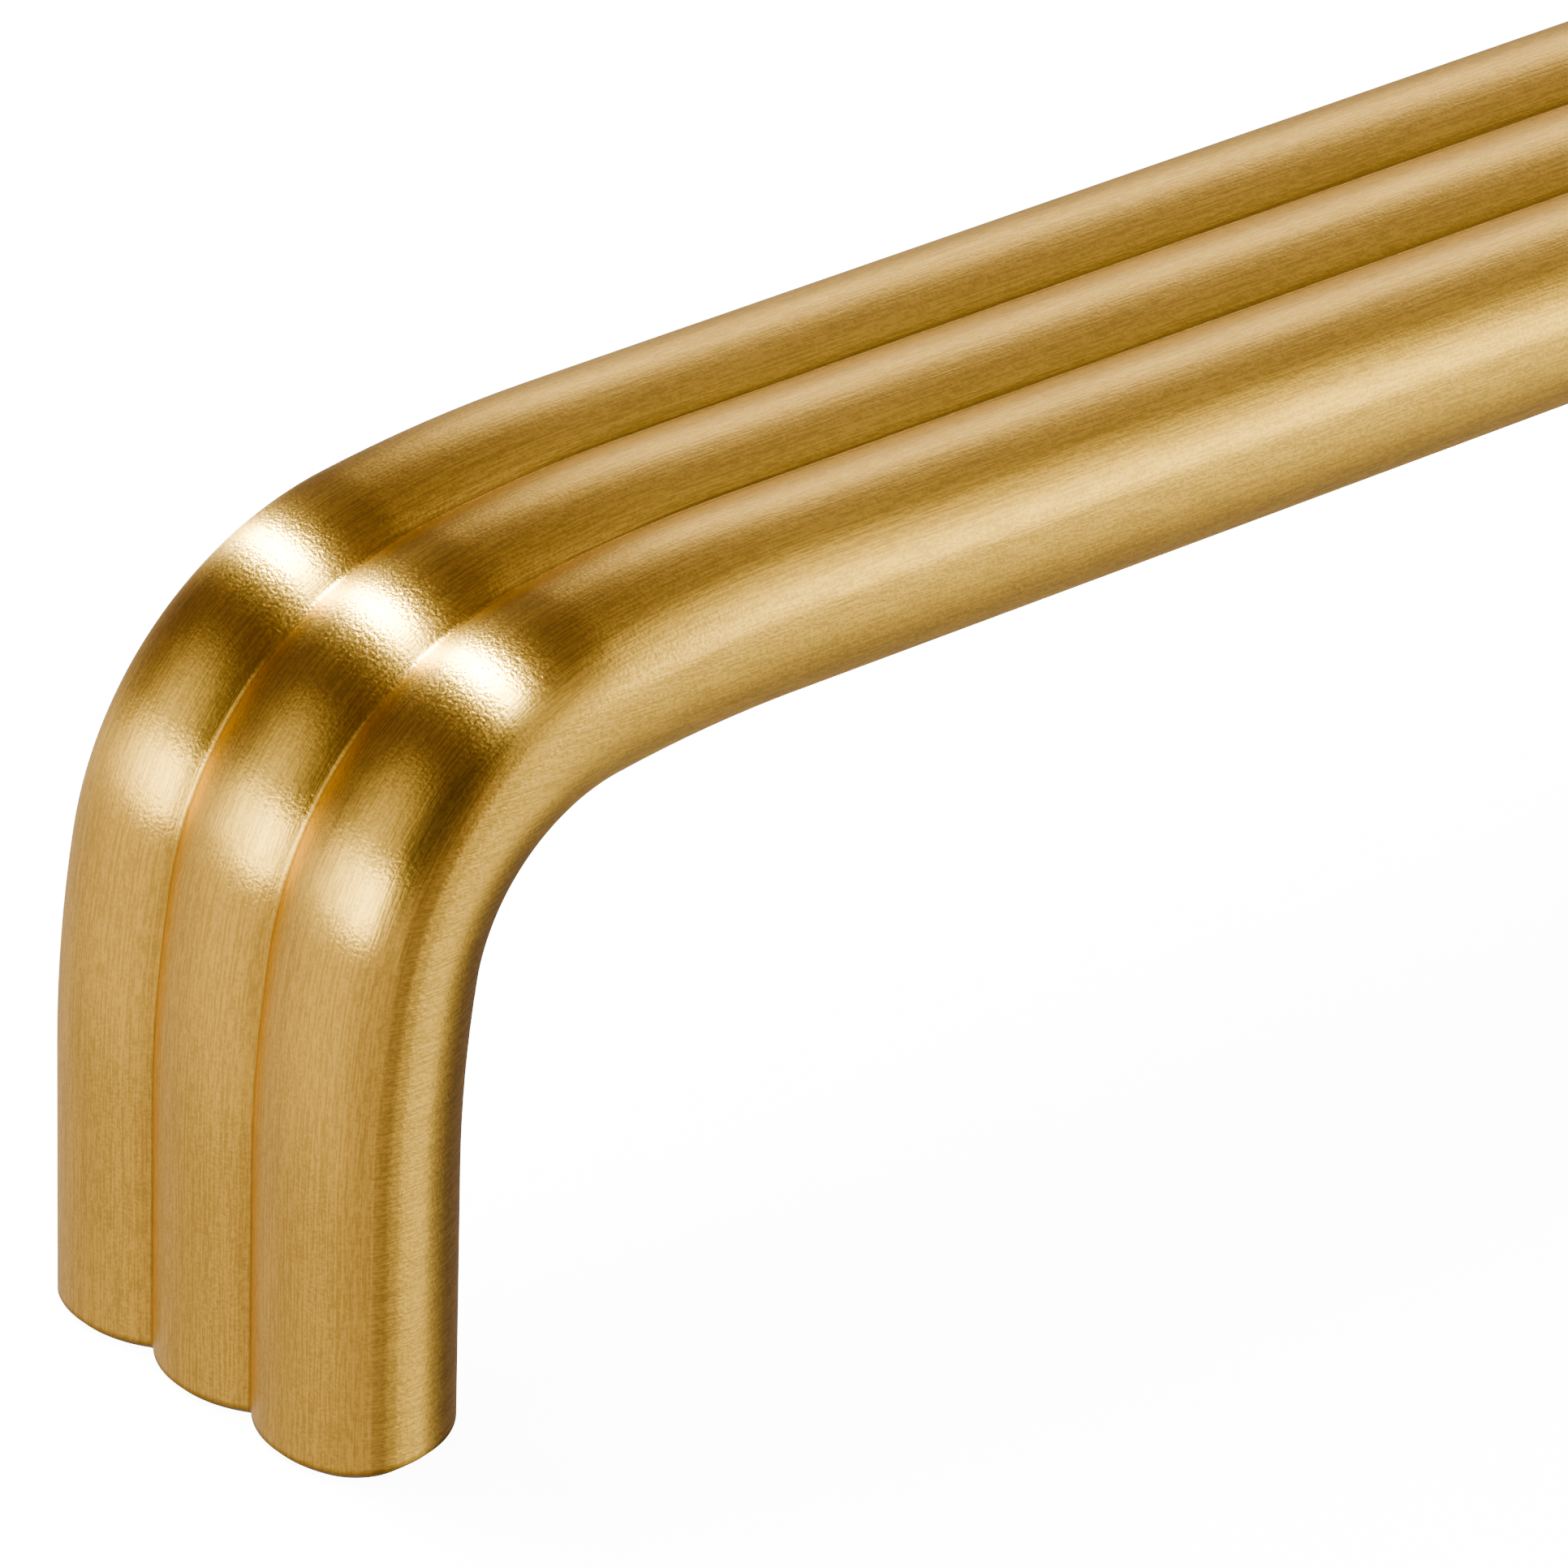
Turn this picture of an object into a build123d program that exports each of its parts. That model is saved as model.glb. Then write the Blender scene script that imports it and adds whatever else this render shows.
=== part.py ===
from build123d import *
from math import asin, cos, degrees, radians, sin, tan
import os

# A one-piece D-shaped cabinet pull: a bar with three rounded reeds along its outer face,
# bent down at both ends into two legs that stand on the mounting plane.
# Frame: the origin lies on the mounting plane, midway between the two screw holes.
# +X runs along the bar, +Y across it and +Z away from the cabinet front.

# Overall sizes, in millimetres
hole_spacing = 160.0
projection = 32.5
thickness = 8.0

# Section: the reeds, the hollow between two of them, and the rounded edge of the bar
reed_count = 3
reed_pitch = 5.94
reed_radius = 4.83
groove_radius = 0.28
side_reach = 3.56
shoulder_radius = 2.5
side_radius = 13.0
side_turn = 4.1

# Bend, along the crests of the reeds: a tight middle eased in and out by two wide arcs
leg_ease_radius = 51.0
leg_ease_turn = 10.0
bend_radius = 14.7
bar_ease_radius = 64.0
bar_ease_turn = 8.8

# Feet and the blind holes for the screws that come through the cabinet front
foot_bevel = 0.25
screw_diameter = 4.0
screw_depth = 12.0
mouth_bevel = 0.4
drill_point = 118.0

# Where the parts of the edge meet. Angles turn from the outward direction towards the side.
reed_height = thickness - reed_radius
outer_reed = (reed_count - 1) * reed_pitch / 2
half_width = outer_reed + side_reach
shoulder_angle = degrees(asin((side_reach - shoulder_radius) / (reed_radius - shoulder_radius)))
shoulder_height = reed_height + (reed_radius - shoulder_radius) * cos(radians(shoulder_angle))
corner_radius = (shoulder_height - side_radius * sin(radians(side_turn))) / (1 - sin(radians(side_turn)))
shoulder_middle = half_width - shoulder_radius
side_middle = half_width - side_radius
corner_middle = side_middle + (side_radius - corner_radius) * cos(radians(side_turn))

# The hollow between two reeds is an arc that touches both of them.
groove_angle = degrees(asin(reed_pitch / 2 / (reed_radius + groove_radius)))
groove_height = reed_height + (reed_radius + groove_radius) * cos(radians(groove_angle))

# The bend's middle arc takes the turn that the two wide arcs leave.
bend_turn = 90 - leg_ease_turn - bar_ease_turn
bend_rise = (
    leg_ease_radius * sin(radians(leg_ease_turn))
    + bend_radius * (cos(radians(bar_ease_turn)) - sin(radians(leg_ease_turn)))
    + bar_ease_radius * (1 - cos(radians(bar_ease_turn)))
)
leg_straight = projection - bend_rise
half_length = (hole_spacing + thickness) / 2

with BuildPart() as pull:
    # The crest line of the middle reed, from one foot over the bar to the other
    with BuildLine(Plane.XZ):
        leg = Line((-half_length, 0), (-half_length, leg_straight))
        leg_ease = JernArc(leg @ 1, leg % 1, leg_ease_radius, -leg_ease_turn)
        bend = JernArc(leg_ease @ 1, leg_ease % 1, bend_radius, -bend_turn)
        bar_ease = JernArc(bend @ 1, bend % 1, bar_ease_radius, -bar_ease_turn)
        Line(bar_ease @ 1, (0, projection))
        mirror(about=Plane.YZ)

    # The section, drawn on the left foot with the flat inner face at the bottom
    inner_face = -half_length + thickness
    with BuildSketch(Plane(origin=(inner_face, 0, 0), x_dir=(0, 1, 0), z_dir=(0, 0, 1))):
        with BuildLine():
            # One rounded edge, from the outer reed round to the inner face, and its mirror image
            CenterArc((shoulder_middle, shoulder_height), shoulder_radius, 0, 90 - shoulder_angle)
            CenterArc((side_middle, shoulder_height), side_radius, -side_turn, side_turn)
            CenterArc((corner_middle, corner_radius), corner_radius, 270, 90 - side_turn)
            mirror(about=Plane.YZ)
            # The reeds: the outer two run on into the edges, the others end in a hollow on both sides
            for index in range(reed_count):
                middle = index * reed_pitch - outer_reed
                left_turn = shoulder_angle if index == 0 else groove_angle
                right_turn = shoulder_angle if index == reed_count - 1 else groove_angle
                CenterArc((middle, reed_height), reed_radius, 90 - right_turn, right_turn + left_turn)
            # The hollows between the reeds
            for index in range(reed_count - 1):
                middle = (index + 0.5) * reed_pitch - outer_reed
                CenterArc((middle, groove_height), groove_radius, 270 - groove_angle, 2 * groove_angle)
            Line((-corner_middle, 0), (corner_middle, 0))
        make_face()
    sweep()

    # The cut ends of the legs have their edges broken
    feet = pull.faces().filter_by(Axis.Z).group_by(Axis.Z)[0]
    chamfer(feet.edges(), foot_bevel)

    # A blind hole in the middle of each foot, with a bevelled mouth and a drilled end
    radius = screw_diameter / 2
    point = radius / tan(radians(drill_point / 2))
    for side in (-1, 1):
        hole_plane = Plane.XZ.move(Location((side * hole_spacing / 2, 0, 0)))
        with BuildSketch(hole_plane):
            with BuildLine():
                Polyline(
                    (0, 0),
                    (radius + mouth_bevel, 0),
                    (radius, mouth_bevel),
                    (radius, screw_depth),
                    (0, screw_depth + point),
                    close=True,
                )
            make_face()
        revolve(axis=Axis(hole_plane.origin, (0, 0, 1)), mode=Mode.SUBTRACT)

pull.part.label = "pull"

os.makedirs("parts", exist_ok=True)
export_step(pull.part, "parts/pull.step")
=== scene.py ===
import bpy
import numpy as np
from mathutils import Matrix, Quaternion, Vector


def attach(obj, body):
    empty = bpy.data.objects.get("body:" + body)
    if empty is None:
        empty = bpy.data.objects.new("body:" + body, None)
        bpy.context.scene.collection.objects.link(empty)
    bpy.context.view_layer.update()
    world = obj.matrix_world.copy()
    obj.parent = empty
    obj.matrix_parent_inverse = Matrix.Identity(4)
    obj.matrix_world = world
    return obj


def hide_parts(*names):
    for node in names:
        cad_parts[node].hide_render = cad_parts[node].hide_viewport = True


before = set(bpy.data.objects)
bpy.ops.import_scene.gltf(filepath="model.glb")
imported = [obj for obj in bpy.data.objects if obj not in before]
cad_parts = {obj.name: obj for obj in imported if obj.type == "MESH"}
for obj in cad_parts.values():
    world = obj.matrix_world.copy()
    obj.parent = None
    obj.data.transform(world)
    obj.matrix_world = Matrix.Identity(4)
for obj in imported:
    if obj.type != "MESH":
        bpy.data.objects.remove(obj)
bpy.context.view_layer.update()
scene = bpy.context.scene
mm = 0.001
perMetre = 1000  # perMetre / size is how many cells of that many millimetres fit in a metre
sharpAngle = 0.5  # radians; an edge that turns more than this stays crisp
tiny = 1e-6  # keeps a length of nought from dividing
xAxis, yAxis = np.array([1, 0, 0.0]), np.array([0, 1, 0])


def hexLinear(code):
    # sRGB hex to linear red, green, blue
    value = np.array([int(code[i:i + 2], 16) for i in (1, 3, 5)]) / 255
    return np.where(value <= 0.04045, value / 12.92, ((value + 0.055) / 1.055) ** 2.4)


def hexColour(code):
    return *hexLinear(code), 1


def smoothStep(low, high, value):
    # 0 up to low, 1 from high on, an even S curve between
    t = np.clip((value - low) / (high - low), 0, 1)
    return t * t * (3 - 2 * t)


def gridMesh(name, rows, startPole, endPole):
    # rows[i, j] is point j of ring i, in millimetres; each ring closes on itself and each end on one point
    ringCount, pointCount = rows.shape[:2]
    points = np.concatenate([rows.reshape(-1, 3), [startPole, endPole]]) * mm
    ring, column = np.meshgrid(np.arange(ringCount - 1), np.arange(pointCount), indexing="ij")
    after = (column + 1) % pointCount
    here, there = ring * pointCount, (ring + 1) * pointCount
    quads = np.stack([here + column, here + after, there + after, there + column], -1).reshape(-1, 4)
    j = np.arange(pointCount)
    k = (j + 1) % pointCount
    lastRing = (ringCount - 1) * pointCount
    startIndex = ringCount * pointCount
    start = np.stack([np.full(pointCount, startIndex), k, j], -1)
    end = np.stack([np.full(pointCount, startIndex + 1), j + lastRing, k + lastRing], -1)
    mesh = bpy.data.meshes.new(name)
    mesh.from_pydata(points.tolist(), [], quads.tolist() + start.tolist() + end.tolist())
    mesh.polygons.foreach_set("use_smooth", np.ones(len(mesh.polygons), bool))
    mesh.set_sharp_from_angle(angle=sharpAngle)
    piece = bpy.data.objects.new(name, mesh)
    scene.collection.objects.link(piece)
    return piece


def addUv(piece, name, along, across):
    # along[i] and across[j] in millimetres; across has one value more than the ring, for the seam
    low, high = along[:-1, None], along[1:, None]
    left, right = across[None, :-1], across[None, 1:]
    corners = [(low, left), (low, right), (high, right), (high, left)]
    quads = np.stack([np.stack(np.broadcast_arrays(u, v), -1) for u, v in corners], 2)
    # each end's point lies a millimetre past its ring, midway between two of the ring's points
    middle = (across[:-1] + across[1:]) / 2
    first, last = np.full(len(middle), along[0]), np.full(len(middle), along[-1])
    start = np.array([[first - 1, middle], [first, across[1:]], [first, across[:-1]]])
    end = np.array([[last + 1, middle], [last, across[:-1]], [last, across[1:]]])
    ends = [cap.transpose(2, 0, 1).ravel() for cap in (start, end)]
    layer = piece.data.uv_layers.new(name=name)
    layer.data.foreach_set("uv", np.concatenate([quads.ravel(), *ends]).astype(np.float32))


def addAttribute(piece, name, kind, values):
    attribute = piece.data.attributes.new(name, kind, "POINT")
    field = "vector" if kind == "FLOAT_VECTOR" else "value"
    attribute.data.foreach_set(field, values.astype(np.float32).ravel())


def addNode(tree, kind, settings=None, links=None):
    # settings are the node's own options or its sockets' values;
    # links join other nodes' outputs to its sockets
    node = tree.nodes.new(kind)
    for key, value in (settings or {}).items():
        if isinstance(key, str) and hasattr(node, key):
            setattr(node, key, value)
        else:
            node.inputs[key].default_value = value
    for key, output in (links or {}).items():
        tree.links.new(output, node.inputs[key])
    return node


def addRange(tree, value, source=(0, 1), target=(0, 1), curve="LINEAR"):
    # carries source's ends over to target's and holds them beyond
    settings = {"interpolation_type": curve, "From Min": source[0], "From Max": source[1],
                "To Min": target[0], "To Max": target[1]}
    return addNode(tree, "ShaderNodeMapRange", settings, {"Value": value}).outputs[0]


def addNoise(tree, place, scale, detail=1.0):
    # cloudy noise, scale cells to a unit of place along each axis
    cells = addNode(tree, "ShaderNodeMapping", {"Scale": scale}, {"Vector": place})
    settings = {"Scale": 1.0, "Detail": detail}
    return addNode(tree, "ShaderNodeTexNoise", settings, {"Vector": cells.outputs["Vector"]}).outputs[0]


def newMaterial(name):
    material = bpy.data.materials.new(name)
    material.use_nodes = True
    material.node_tree.nodes.clear()
    return material, material.node_tree


# The pull: sizes in millimetres and turns in degrees, the same as the solid's
pullValues = {
    "holeSpacing": 160.0, "projection": 32.5, "thickness": 8.0,
    "reedPitch": 5.94, "reedRadius": 4.83, "grooveRadius": 0.28,
    "sideReach": 3.56, "shoulderRadius": 2.5, "sideRadius": 13.0, "sideTurn": 4.1,
    "legEaseRadius": 51.0, "legEaseTurn": 10.0, "bendRadius": 14.7,
    "barEaseRadius": 64.0, "barEaseTurn": 8.8,
    "footBevel": 0.25, "holeRadius": 2.0, "holeDepth": 12.0, "mouthBevel": 0.4, "drillPoint": 118.0,
    # rings along the path and points round the section, for each stretch;
    # edgeStep is the second ring's rise above the foot's bevel
    "edgeStep": 0.25, "legRings": 10, "easeRings": 8, "bendRings": 60, "barRings": 12, "faceRings": 5,
    "cornerPoints": 30, "sidePoints": 4, "shoulderPoints": 24, "outerReedPoints": 32, "middleReedPoints": 36,
    "groovePoints": 14, "innerPoints": 14,
    # where the side's brushing takes over, by how far the surface faces sideways: outer half, inner half
    "sideOuter": (0.8, 1.0), "sideInner": (0.1, 0.5),
    # painted groove shade: widths and heights in millimetres, path turns in radians, grooveFacing the least
    # that a groove faces outward, the rest shares of full painted shade; the line is a thin painted shadow
    # line
    "shadowLineWidth": 0.06, "shadowLineShare": 0.5, "shadowLineFade": (6, 15), "shadeWidth": 0.4, "grooveFacing": 0.3,
    "barShade": 0.65, "barTurns": (1.45, 1.57), "legShade": 0.2, "legTurns": (0.35, 0.8), "footEdgeShade": 0.8,
}


def arcPoints(centreAcross, centreOut, radius, start, end, count, sign=1):
    # columns: across, outward, and the normal's across and outward parts;
    # angles turn from outward to the near side
    angle = np.radians(np.linspace(start, end, count, endpoint=False))
    sine, cosine = np.sin(angle), np.cos(angle)
    across, out = centreAcross + radius * sine, centreOut + radius * cosine
    return np.stack([across, out, sign * sine, sign * cosine], -1)


def sectionLoop(v):
    # one turn round the section in tangent arcs: from the far inner corner over the reeds to the near one,
    # and back along the flat inner face
    reed, pitch, shoulder, side = v["reedRadius"], v["reedPitch"], v["shoulderRadius"], v["sideRadius"]
    reedHeight = v["thickness"] - reed
    halfWidth = pitch + v["sideReach"]
    gap = reed - shoulder
    shoulderAngle = np.degrees(np.arcsin((v["sideReach"] - shoulder) / gap))
    shoulderHeight = reedHeight + gap * np.cos(np.radians(shoulderAngle))
    lean = np.radians(v["sideTurn"])
    corner = (shoulderHeight - side * np.sin(lean)) / (1 - np.sin(lean))
    shoulderMiddle, sideMiddle = halfWidth - shoulder, halfWidth - side
    cornerMiddle = sideMiddle + (side - corner) * np.cos(lean)
    groove = v["grooveRadius"]
    grooveAngle = np.degrees(np.arcsin(pitch / 2 / (reed + groove)))
    grooveHeight = reedHeight + (reed + groove) * np.cos(np.radians(grooveAngle))
    grooveStart, grooveEnd = 180 + grooveAngle, 180 - grooveAngle
    grooves = [arcPoints(middle, grooveHeight, groove, grooveStart, grooveEnd, v["groovePoints"], -1)
               for middle in (-pitch / 2, pitch / 2)]
    sideEnd = 90 + v["sideTurn"]
    flat = np.zeros(v["innerPoints"])
    innerAcross = np.linspace(cornerMiddle, -cornerMiddle, v["innerPoints"], endpoint=False)
    return np.concatenate([
        arcPoints(-cornerMiddle, corner, corner, -180, -sideEnd, v["cornerPoints"]),
        arcPoints(-sideMiddle, shoulderHeight, side, -sideEnd, -90, v["sidePoints"]),
        arcPoints(-shoulderMiddle, shoulderHeight, shoulder, -90, -shoulderAngle, v["shoulderPoints"]),
        arcPoints(-pitch, reedHeight, reed, -shoulderAngle, grooveAngle, v["outerReedPoints"]),
        grooves[0],
        arcPoints(0, reedHeight, reed, -grooveAngle, grooveAngle, v["middleReedPoints"]),
        grooves[1],
        arcPoints(pitch, reedHeight, reed, -grooveAngle, shoulderAngle, v["outerReedPoints"]),
        arcPoints(shoulderMiddle, shoulderHeight, shoulder, shoulderAngle, 90, v["shoulderPoints"]),
        arcPoints(sideMiddle, shoulderHeight, side, 90, sideEnd, v["sidePoints"]),
        arcPoints(cornerMiddle, corner, corner, sideEnd, 180, v["cornerPoints"]),
        np.stack([innerAcross, flat, flat, flat - 1], -1),
    ])


def crestPath(v):
    # columns: x, z and travel angle along the reeds' crest, up the left leg, through three tangent arcs
    # and along the bar to its middle; the other half is its mirror image
    arcs = [(v["legEaseRadius"], v["legEaseTurn"], v["easeRings"]),
            (v["bendRadius"], 90 - v["legEaseTurn"] - v["barEaseTurn"], v["bendRings"]),
            (v["barEaseRadius"], v["barEaseTurn"], v["easeRings"])]
    ends = np.radians(np.cumsum([0] + [turn for _, turn, _ in arcs]))
    rise = sum(arc[0] * (np.sin(end) - np.sin(start)) for arc, start, end in zip(arcs, ends[:-1], ends[1:]))
    x, z = -(v["holeSpacing"] + v["thickness"]) / 2, v["projection"] - rise
    leg = np.linspace(v["footBevel"] + v["edgeStep"], z, v["legRings"], endpoint=False)
    heights = np.concatenate([[v["footBevel"]], leg])
    rows = [np.stack([np.full(len(heights), x), heights, np.zeros(len(heights))], -1)]
    for (radius, _, count), start, end in zip(arcs, ends[:-1], ends[1:]):
        angle = np.linspace(start, end, count, endpoint=False)
        xs = x + radius * (np.cos(start) - np.cos(angle))
        zs = z + radius * (np.sin(angle) - np.sin(start))
        rows.append(np.stack([xs, zs, angle], -1))
        x += radius * (np.cos(start) - np.cos(end))
        z += radius * (np.sin(end) - np.sin(start))
    bar = np.linspace(x, 0, v["barRings"])
    rows.append(np.stack([bar, np.full(len(bar), v["projection"]), np.full(len(bar), np.pi / 2)], -1))
    half = np.concatenate(rows)
    other = half[-2::-1] * [-1, 1, -1] + [0, 0, np.pi]
    return np.concatenate([half, other])


def footRings(v, loop):
    # rings from the hole's wall and mouth out over the foot's flat face to the section drawn in by the
    # bevel, and the drill point's tip
    inset = loop[:, :2] - v["footBevel"] * loop[:, 2:]
    middle = np.array([0, v["thickness"] / 2])
    spoke = (inset - middle) / np.linalg.norm(inset - middle, axis=1, keepdims=True)
    mouth = middle + spoke * (v["holeRadius"] + v["mouthBevel"])
    face = mouth + (inset - mouth) * np.linspace(0, 1, v["faceRings"])[:, None, None]
    wall = np.stack([middle + spoke * v["holeRadius"]] * 2)
    flat = np.concatenate([wall, face])
    height = np.concatenate([[v["holeDepth"], v["mouthBevel"]], np.zeros(v["faceRings"])])
    depth = np.broadcast_to(height[:, None], flat.shape[:2])
    edge = -(v["holeSpacing"] + v["thickness"]) / 2
    rings = np.stack([edge + v["thickness"] - flat[..., 1], -flat[..., 0], depth], -1)
    pointDepth = v["holeRadius"] / np.tan(np.radians(v["drillPoint"] / 2))
    return rings, np.array([edge + v["thickness"] / 2, 0, v["holeDepth"] + pointDepth])


def brushLay(v, loop, angle):
    # strokes run along the path on the reeds and along X on the two sides; crossLay is the way across them,
    # normal x stroke, and sideShare is how far each point of the section belongs to a side
    reach = np.abs(loop[:, 2]) * (np.abs(loop[:, 0]) > v["reedPitch"])
    outer, inner = smoothStep(*v["sideOuter"], reach), smoothStep(*v["sideInner"], reach)
    sideShare = np.where(loop[:, 3] > 0, outer, inner)
    still = np.zeros(len(angle))
    travel = np.stack([np.sin(angle), still, np.cos(angle)], -1)
    facing = np.stack([-np.cos(angle), still, np.sin(angle)], -1)
    normal = facing[:, None] * loop[None, :, 3:4] - yAxis * loop[None, :, 2:3]
    stroke = travel[:, None] * (1 - sideShare[None, :, None]) + xAxis * sideShare[None, :, None]
    crossLay = np.cross(normal, stroke)
    crossLay /= np.maximum(np.linalg.norm(crossLay, axis=-1, keepdims=True), tiny)
    return crossLay, sideShare


def paintedGrooveShade(v, loop, angle, height):
    # painted shade: a bell-shaped darkening in each groove for the shade that falls there, deep along the
    # bar, faint up the legs and none on the bend, where the highlight crosses the grooves, with a thin
    # painted shadow line low on the legs
    gap = np.abs(np.abs(loop[:, 0]) - v["reedPitch"] / 2)
    outward = loop[:, 3] > v["grooveFacing"]
    shadowLine = np.exp(-(gap / v["shadowLineWidth"]) ** 2) * outward
    shade = np.exp(-(gap / v["shadeWidth"]) ** 2) * outward
    lowness = 1 - smoothStep(*v["shadowLineFade"], height)
    turn = np.minimum(angle, np.pi - angle)
    onBar, onLeg = smoothStep(*v["barTurns"], turn), 1 - smoothStep(*v["legTurns"], turn)
    share = v["barShade"] * onBar + v["legShade"] * onLeg
    return np.maximum(v["shadowLineShare"] * np.outer(lowness, shadowLine), np.outer(share, shade))


def buildPull(v):
    # place(i, j) = crest(i) + outward(i) * height(j) - Y * across(j);
    # outward turns with the path from -X over +Z to +X, and height is nought at the crest
    loop, path = sectionLoop(v), crestPath(v)
    across, out = loop[:, 0], loop[:, 1] - v["thickness"]
    still = np.zeros(len(path))
    outward = np.stack([-np.cos(path[:, 2]), still, np.sin(path[:, 2])], -1)
    crest = np.stack([path[:, 0], still, path[:, 1]], -1)
    rings = crest[:, None] + outward[:, None] * out[None, :, None] - yAxis * across[None, :, None]
    foot, tip = footRings(v, loop)
    flip = np.array([-1, 1, 1])
    rows = np.concatenate([foot, rings, foot[::-1] * flip])
    piece = gridMesh("pullBody", rows, tip, tip * flip)
    # brush map: millimetres along the path and round the section
    crestLine = rows[:, np.argmax(out)]
    stepAlong = np.linalg.norm(np.diff(crestLine, axis=0), axis=1)
    stepRound = np.linalg.norm(np.diff(np.vstack([loop[:, :2], loop[:1, :2]]), axis=0), axis=1)
    lengths = [np.concatenate([[0], np.cumsum(step)]) for step in (stepAlong, stepRound)]
    addUv(piece, "brush", *lengths)
    # one value per point of the rings, then one for each tip
    angle = np.concatenate([np.zeros(len(foot)), path[:, 2], np.full(len(foot), np.pi)])
    crossLay, sideShare = brushLay(v, loop, angle)
    crossLay = np.concatenate([crossLay.reshape(-1, 3), [yAxis, yAxis]])
    addAttribute(piece, "crossLay", "FLOAT_VECTOR", crossLay)
    addAttribute(piece, "sideShare", "FLOAT", np.concatenate([np.tile(sideShare, len(rows)), [0, 0]]))
    paintedShade = paintedGrooveShade(v, loop, angle, crestLine[:, 2])
    # painted shade on both feet's bevels, darker where the foot meets the floor
    paintedShade[[len(foot) - 1, len(foot), -len(foot) - 1, -len(foot)]] = v["footEdgeShade"]  # both feet's bevels
    addAttribute(piece, "paintedShade", "FLOAT", np.concatenate([paintedShade.ravel(), [0, 0]]))
    return piece


pull = buildPull(pullValues)
print("pull", len(pull.data.vertices), "points", flush=True)

# Screw threads in the two blind holes: M4 coarse, in millimetres, with run-outs counted in turns
threadValues = {
    "pitch": 0.7, "crestRadius": 1.62, "rootRadius": 2.03, "rootHalf": 0.306, "crestHalf": 0.0875,
    "start": 0.75, "end": 10.6, "runOut": 0.6, "steps": 36,
}


def buildThread(name, v, x):
    # place(i, j): angle i round the hole, rising a pitch each turn;
    # profile j is a ridge from root to crest and back, which grows from nought over the run-out at each end
    turns = (v["end"] - v["start"]) / v["pitch"]
    turn = np.linspace(0, turns, int(turns * v["steps"]))[1:-1]
    grow = np.minimum(smoothStep(0, v["runOut"], turn), smoothStep(0, v["runOut"], turns - turn))[:, None]
    halfHeight = np.array([v["rootHalf"], v["crestHalf"], -v["crestHalf"], -v["rootHalf"]])[None]
    radius = v["rootRadius"] - (v["rootRadius"] - v["crestRadius"]) * np.array([0, 1, 1, 0])[None] * grow
    angle = (2 * np.pi * turn)[:, None]
    height = v["start"] + v["pitch"] * turn[:, None] + halfHeight * grow
    rows = np.stack([x + radius * np.cos(angle), radius * np.sin(angle), height], -1)
    lastAngle = 2 * np.pi * turns
    start = [x + v["rootRadius"], 0, v["start"]]
    end = [x + v["rootRadius"] * np.cos(lastAngle), v["rootRadius"] * np.sin(lastAngle), v["end"]]
    return gridMesh(name, rows, start, end)


holeX = pullValues["holeSpacing"] / 2
holes = {"threadLeft": -holeX, "threadRight": holeX}
threads = [buildThread(name, threadValues, x) for name, x in holes.items()]
print("threads", len(threads), flush=True)

# Brushed brass: satin yellow metal; the fine lines draw each highlight out across them, and a sandy grain
# breaks its edge. Streak and stroke are length and width, with depths and grain size, all in millimetres;
# strokeShare mixes the two, sideLength shortens both on the sides and sideDepth is their extent across
# the bar; tint darkens and pales the colour by the lines and, for tintGrain of it, the grain
brassValues = {
    "colour": "#EFC16A", "paintedShade": "#9A7638", "roughness": (0.276, 0.296), "anisotropy": 0.94,
    "streak": (6.0, 0.09), "stroke": (0.8, 0.08), "strokeShare": 0.5, "sideLength": 0.3, "sideDepth": 10 / 3,
    "lineDepth": 0.013, "grainSize": 0.14, "grainDepth": 0.007,
    "tint": 0.135, "tintGrain": 0.25, "tintRange": (0.43, 0.57),
}


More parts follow.
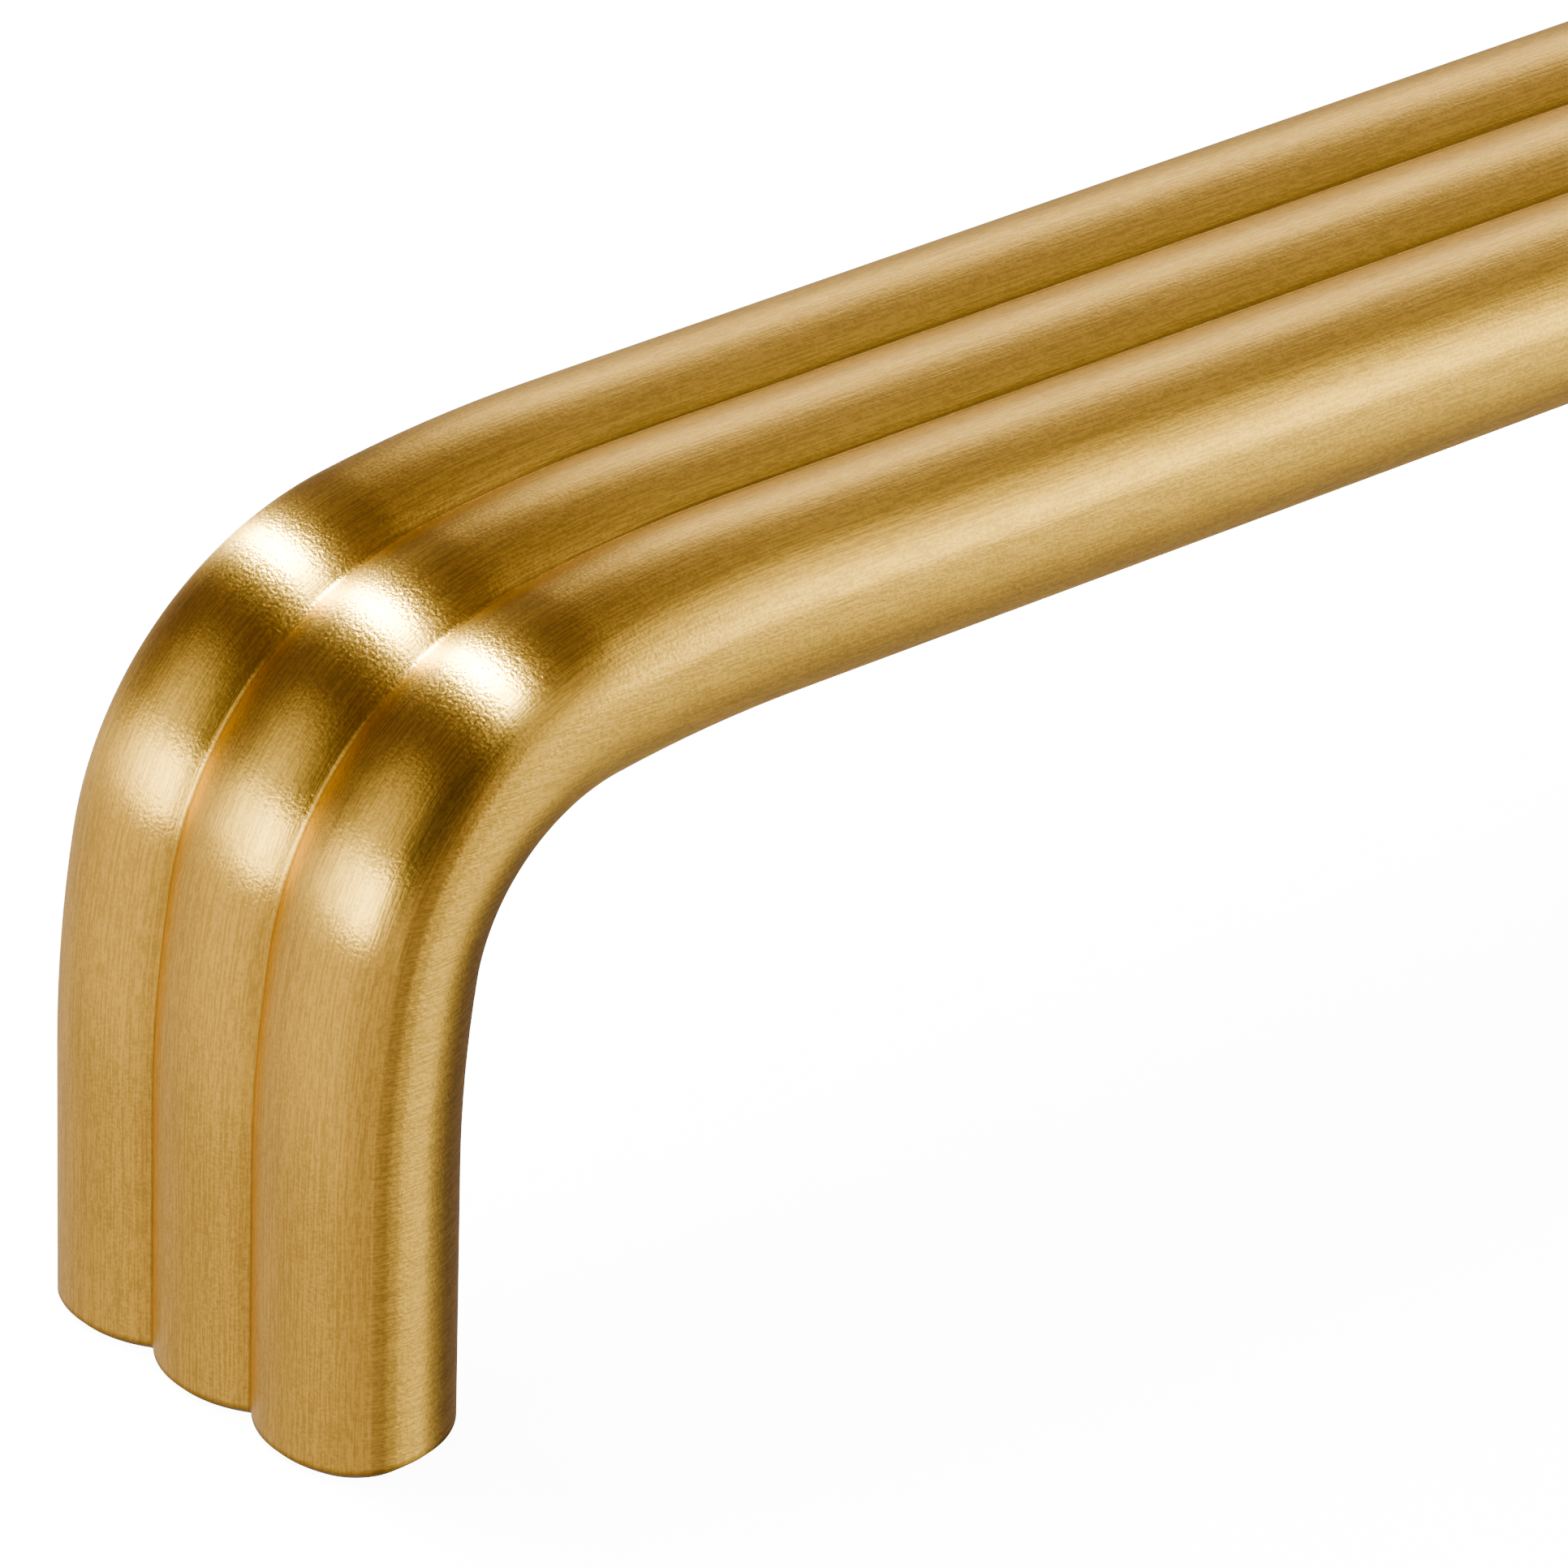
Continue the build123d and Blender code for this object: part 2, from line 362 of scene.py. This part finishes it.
def brushedBrass(v):
    material, tree = newMaterial("brushedBrass")
    brush = addNode(tree, "ShaderNodeUVMap", {"uv_map": "brush"})
    place = addNode(tree, "ShaderNodeTexCoord")
    side = addNode(tree, "ShaderNodeAttribute", {"attribute_name": "sideShare"})
    cross = addNode(tree, "ShaderNodeAttribute", {"attribute_name": "crossLay"})
    layers = []
    for length, width in (v["streak"], v["stroke"]):
        sideScale = (perMetre / (length * v["sideLength"]), perMetre / v["sideDepth"], perMetre / width)
        reedLines = addNoise(tree, brush.outputs["UV"], (1 / length, 1 / width, 1))
        sideLines = addNoise(tree, place.outputs["Object"], sideScale)
        layer = addNode(tree, "ShaderNodeMix", {"data_type": "FLOAT"},
                        {0: side.outputs["Fac"], 2: reedLines, 3: sideLines})
        layers.append(layer.outputs[0])
    lines = addNode(tree, "ShaderNodeMix", {"data_type": "FLOAT", 0: v["strokeShare"]},
                    {2: layers[0], 3: layers[1]}).outputs[0]
    grain = addNoise(tree, place.outputs["Object"], (perMetre / v["grainSize"],) * 3)
    # relief: lines and grain add up to one height in metres
    lineRelief = addNode(tree, "ShaderNodeMath", {"operation": "MULTIPLY", 1: v["lineDepth"] * mm},
                         {0: lines})
    relief = addNode(tree, "ShaderNodeMath", {"operation": "MULTIPLY_ADD", 1: v["grainDepth"] * mm},
                     {0: grain, 2: lineRelief.outputs[0]})
    bump = addNode(tree, "ShaderNodeBump", {"Strength": 1.0, "Distance": 1.0}, {"Height": relief.outputs[0]})
    rough = addRange(tree, lines, target=v["roughness"])
    # colour: the same marks, darker and paler than the base, under the painted groove and foot shade
    base = hexLinear(v["colour"])
    dark, pale = base * (1 - v["tint"]), (base * (1 + v["tint"])).clip(0, 1)
    marks = addNode(tree, "ShaderNodeMix", {"data_type": "FLOAT", 0: v["tintGrain"]}, {2: lines, 3: grain})
    shade = addRange(tree, marks.outputs[0], source=v["tintRange"])
    tint = addNode(tree, "ShaderNodeMix", {"data_type": "RGBA", 6: (*dark, 1), 7: (*pale, 1)}, {0: shade})
    # painted shade: the grooves and the feet's bevels are mixed towards a darker brass where shade falls
    paintedShadeShare = addNode(tree, "ShaderNodeAttribute", {"attribute_name": "paintedShade"})
    colour = addNode(tree, "ShaderNodeMix", {"data_type": "RGBA", 7: hexColour(v["paintedShade"])},
                     {0: paintedShadeShare.outputs["Fac"], 6: tint.outputs[2]})
    shader = addNode(tree, "ShaderNodeBsdfPrincipled", {"Metallic": 1.0, "Anisotropic": v["anisotropy"]},
                     {"Base Color": colour.outputs[2], "Roughness": rough,
                      "Normal": bump.outputs[0], "Tangent": cross.outputs["Vector"]})
    addNode(tree, "ShaderNodeOutputMaterial", None, {"Surface": shader.outputs[0]})
    return material


# Machined brass: freshly cut thread flanks, a little smoother than the brushed outside, with faint turning
# marks; markScale is their cells to a metre, 1.25 mm round the hole and 0.07 mm along it
cutValues = {"colour": "#EFC16A", "roughness": (0.16, 0.32), "markScale": (800, 800, 14000), "detail": 2.0}


def machinedBrass(v):
    material, tree = newMaterial("machinedBrass")
    place = addNode(tree, "ShaderNodeTexCoord")
    marks = addNoise(tree, place.outputs["Object"], v["markScale"], v["detail"])
    rough = addRange(tree, marks, target=v["roughness"])
    metal = {"Metallic": 1.0, "Base Color": hexColour(v["colour"])}
    shader = addNode(tree, "ShaderNodeBsdfPrincipled", metal, {"Roughness": rough})
    addNode(tree, "ShaderNodeOutputMaterial", None, {"Surface": shader.outputs[0]})
    return material


pull.data.materials.append(brushedBrass(brassValues))
cutBrass = machinedBrass(cutValues)
for thread in threads:
    thread.data.materials.append(cutBrass)
for piece in [pull] + threads:
    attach(piece, "root")
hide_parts("pull")
print("materials", flush=True)

# Studio: white floor, dim room and soft boxes. Below the floor the room changes from left to right over
# belowTurn; above it the room is roomAbove and sinks to roomDim towards dimWay, from dimEdge on, which is
# the cosine of the angle to it; rise is where below turns to above. The last row tints room and boxes.
studioValues = {
    "floorGlow": 3.5, "floorColour": "#F4F4F2", "floorRoughness": 0.9, "floorReach": 8,
    "leftBelow": 0.54, "rightBelow": 0.19, "belowTurn": (-0.5, 0.9), "rise": (-0.02, 0.15),
    "roomAbove": 0.155, "roomDim": 0.06, "dimWay": (-0.68, -0.63, 0.375), "dimEdge": 0.766,
    "room": "#FAF6FF", "dusk": "#FFE4EE", "cool": "#F0FFFF", "plain": "#F3FFFC", "rose": "#F1FAFF",
}
# Soft boxes: places and sizes in metres; back is the way that a box's rear points and roll, in degrees,
# turns it about that; soft is the share of each half that fades out, and level is its brightness
lightValues = {
    "strip": {"place": (-0.29, 0.72, 1.55), "back": (0, 0, 1), "roll": -9.5,
              "size": (0.17, 0.9), "soft": (0.3, 0.4), "level": 55.0, "tint": "cool"},
    "stripFront": {"place": (-0.39, -0.12, 1.55), "back": (0, 0, 1), "roll": -4,
                   "size": (0.15, 1.1), "soft": (0.3, 0.3), "level": 9.0, "tint": "cool"},
    "stripBack": {"place": (0, 2.0, 1.55), "back": (0, 0, 1), "roll": -15.6,
                  "size": (0.17, 2.0), "soft": (0.3, 0.2), "level": 33.0, "tint": "cool"},
    "stripEnd": {"place": (-0.56, -0.96, 1.55), "back": (0, 0, 1), "roll": -18,
                 "size": (0.15, 0.75), "soft": (0.5, 0.4), "level": 1.6, "tint": "cool"},
    "back": {"place": (0.2, 1.48, 0.5), "back": (0.13, 0.9, 0.3), "roll": 0,
             "size": (0.4, 0.7), "soft": (0.7, 0.7), "level": 1.1, "tint": "rose"},
    "left": {"place": (-1.66, -0.18, 0.42), "back": (-1, 0, 0.2), "roll": 0,
             "size": (0.7, 0.76), "soft": (0.4, 0.6), "level": 6.0, "tint": "plain"},
    "leftMid": {"place": (-1.48, 0.72, 0.42), "back": (-0.89, 0.43, 0.2), "roll": 0,
                "size": (1.2, 0.7), "soft": (0.5, 0.6), "level": 1.6, "tint": "plain"},
    "leftBack": {"place": (-1.0, 1.4, 0.15), "back": (-0.6, 0.8, 0.1), "roll": 0,
                 "size": (1.0, 0.5), "soft": (0.5, 0.6), "level": 0.22, "tint": "plain"},
    "leftHaze": {"place": (-1.47, 0.42, 0.85), "back": (-0.87, 0.25, 0.48), "roll": 0,
                 "size": (2.3, 1.8), "soft": (0.7, 1.0), "level": 0.9, "tint": "plain"},
    "leftLow": {"place": (-1.6, 0.6, -0.3), "back": (-1, 0, 0), "roll": 0,
                "size": (3.2, 1.5), "soft": (0.5, 0.5), "level": 0.24, "tint": "plain"},
    "rightFront": {"place": (0.95, -1.22, 0.16), "back": (0.62, -0.79, 0.1), "roll": 0,
                   "size": (0.65, 1.7), "soft": (0.6, 0.4), "level": 1.08, "tint": "plain"},
    "rightWide": {"place": (0.77, -1.35, 0.02), "back": (0.5, -0.87, 0), "roll": 0,
                  "size": (1.6, 1.35), "soft": (0.5, 0.25), "level": 0.7, "tint": "plain"},
    "rightLow": {"place": (1.0, -0.72, -0.95), "back": (0.64, -0.46, -0.62), "roll": 0,
                 "size": (1.0, 0.7), "soft": (0.9, 0.5), "level": 0.46, "tint": "plain"},
    "rightSide": {"place": (1.26, -0.52, -0.73), "back": (0.81, -0.34, -0.47), "roll": 0,
                  "size": (0.75, 0.8), "soft": (0.9, 0.9), "level": 0.22, "tint": "plain"},
    "frontLow": {"place": (0.96, -1.19, -0.25), "back": (0.62, -0.77, -0.16), "roll": 0,
                 "size": (1.0, 0.45), "soft": (0.6, 0.6), "level": 0.3, "tint": "plain"},
    "rightTop": {"place": (0.8, -0.82, 1.1), "back": (0.51, -0.53, 0.68), "roll": 0,
                 "size": (1.05, 1.0), "soft": (0.6, 0.6), "level": 0.75, "tint": "plain"},
    "front": {"place": (0.4, -1.38, 0.72), "back": (0.25, -0.87, 0.43), "roll": 0,
              "size": (1.1, 1.7), "soft": (0.5, 0.5), "level": 0.26, "tint": "plain"},
    "rightHigh": {"place": (0.9, 0, 1.3), "back": (0.57, 0, 0.82), "roll": 0,
                  "size": (1.4, 1.4), "soft": (0.5, 0.5), "level": 0.12, "tint": "plain"},
    "rightBack": {"place": (1.06, 0.91, 0.76), "back": (0.66, 0.57, 0.48), "roll": 0,
                  "size": (1.4, 0.64), "soft": (0.5, 0.5), "level": 1.95, "tint": "rose"},
    "backHigh": {"place": (0.6, 1.2, 1.0), "back": (0.35, 0.7, 0.6), "roll": 0,
                 "size": (1.2, 1.1), "soft": (0.6, 0.6), "level": 0.17, "tint": "rose"},
    "backLow": {"place": (0.2, 1.5, -0.5), "back": (0.1, 0.9, -0.35), "roll": 0,
                "size": (2.4, 1.2), "soft": (0.5, 0.5), "level": 0.2, "tint": "rose"},
}


def addLight(name, v):
    light = bpy.data.lights.new(name, "AREA")
    light.shape = "RECTANGLE"
    light.size, light.size_y = v["size"]
    light.energy = v["level"] * np.pi * light.size * light.size_y
    light.color = hexLinear(studioValues[v["tint"]])
    light.use_nodes = True
    tree = light.node_tree
    tree.nodes.clear()
    face = addNode(tree, "ShaderNodeNewGeometry")
    axes = addNode(tree, "ShaderNodeSeparateXYZ", None, {0: face.outputs["Parametric"]})
    # each axis runs from 0 to 1 over the box; full light in the middle, none at the edge
    half = 0.5
    fades = []
    for axis, soft in enumerate(v["soft"]):
        shift = addNode(tree, "ShaderNodeMath", {"operation": "SUBTRACT", 1: half}, {0: axes.outputs[axis]})
        reach = addNode(tree, "ShaderNodeMath", {"operation": "ABSOLUTE"}, {0: shift.outputs[0]})
        fades.append(addRange(tree, reach.outputs[0], (half - half * soft, half), (1, 0), "SMOOTHSTEP"))
    both = addNode(tree, "ShaderNodeMath", {"operation": "MULTIPLY"}, dict(enumerate(fades)))
    glow = addNode(tree, "ShaderNodeEmission", None, {"Strength": both.outputs[0]})
    addNode(tree, "ShaderNodeOutputLight", None, {"Surface": glow.outputs[0]})
    lamp = bpy.data.objects.new(name, light)
    lamp.location = v["place"]
    rear = Vector(v["back"]).normalized()
    turned = Quaternion(rear, np.radians(v["roll"])) @ rear.to_track_quat("Z", "Y")
    lamp.rotation_euler = turned.to_euler()
    lamp.visible_camera = False
    scene.collection.objects.link(lamp)


def buildRoom(v):
    # the pull mirrors the room; the camera itself sees plain white, like the lit floor
    world = bpy.data.worlds.new("room")
    scene.world = world
    world.use_nodes = True
    tree = world.node_tree
    tree.nodes.clear()
    place = addNode(tree, "ShaderNodeTexCoord")
    axes = addNode(tree, "ShaderNodeSeparateXYZ", None, {0: place.outputs["Generated"]})
    below = addRange(tree, axes.outputs[0], v["belowTurn"], (v["leftBelow"], v["rightBelow"]))
    rise = addRange(tree, axes.outputs[2], v["rise"])
    aside = addNode(tree, "ShaderNodeVectorMath", {"operation": "DOT_PRODUCT", 1: v["dimWay"]},
                    {0: place.outputs["Generated"]})
    above = addRange(tree, aside.outputs["Value"], (v["dimEdge"], 1), (v["roomAbove"], v["roomDim"]))
    blend = addNode(tree, "ShaderNodeMix", {"data_type": "FLOAT"}, {0: rise, 2: below, 3: above})
    tints = {"data_type": "RGBA", 6: hexColour(v["room"]), 7: hexColour(v["dusk"])}
    hue = addNode(tree, "ShaderNodeMix", tints, {0: rise})
    room = addNode(tree, "ShaderNodeBackground", None,
                   {"Color": hue.outputs[2], "Strength": blend.outputs[0]})
    white = addNode(tree, "ShaderNodeBackground", {"Strength": v["floorGlow"] + 1})
    eye = addNode(tree, "ShaderNodeLightPath")
    shown = addNode(tree, "ShaderNodeMixShader", None,
                    {0: eye.outputs["Is Camera Ray"], 1: room.outputs[0], 2: white.outputs[0]})
    addNode(tree, "ShaderNodeOutputWorld", None, {"Surface": shown.outputs[0]})


def whiteFloor(v):
    # matt white board, lit from within so that it stays white under the soft boxes
    material, tree = newMaterial("whiteFloor")
    shader = addNode(tree, "ShaderNodeBsdfPrincipled", {
        "Base Color": hexColour(v["floorColour"]), "Roughness": v["floorRoughness"],
        "Emission Color": (1, 1, 1, 1), "Emission Strength": v["floorGlow"]})
    addNode(tree, "ShaderNodeOutputMaterial", None, {"Surface": shader.outputs[0]})
    return material


for name, values in lightValues.items():
    addLight(name, values)
buildRoom(studioValues)
edge = studioValues["floorReach"]
floorPoints = [(-edge, -edge, 0), (edge, -edge, 0), (edge, edge, 0), (-edge, edge, 0)]
floorMesh = bpy.data.meshes.new("floor")
floorMesh.from_pydata(floorPoints, [], [(0, 1, 2, 3)])
floorMesh.materials.append(whiteFloor(studioValues))
floor = bpy.data.objects.new("floor", floorMesh)
floor.visible_glossy = False
floor.visible_shadow = False
scene.collection.objects.link(floor)
print("studio", flush=True)

# Camera: a long lens from the upper left front, on the left half of the pull
cameraValues = {
    "location": (-0.321174, -0.304635, 0.232788), "lens": 277.358, "sensor": 36, "clipStart": 0.01,
    "right": (0.7621564, -0.64684442, 0.02664416), "up": (0.28757782, 0.37514264, 0.88123039),
}
lens = bpy.data.cameras.new("camera")
lens.lens, lens.sensor_width = cameraValues["lens"], cameraValues["sensor"]
lens.clip_start = cameraValues["clipStart"]
right, up = Vector(cameraValues["right"]), Vector(cameraValues["up"])
turned = Matrix((right, up, right.cross(up))).transposed().to_4x4()
camera = bpy.data.objects.new("camera", lens)
camera.matrix_world = Matrix.Translation(cameraValues["location"]) @ turned
scene.collection.objects.link(camera)
scene.camera = camera
scene.view_settings.view_transform = "AgX"
scene.view_settings.look = "AgX - High Contrast"

bpy.context.view_layer.update()
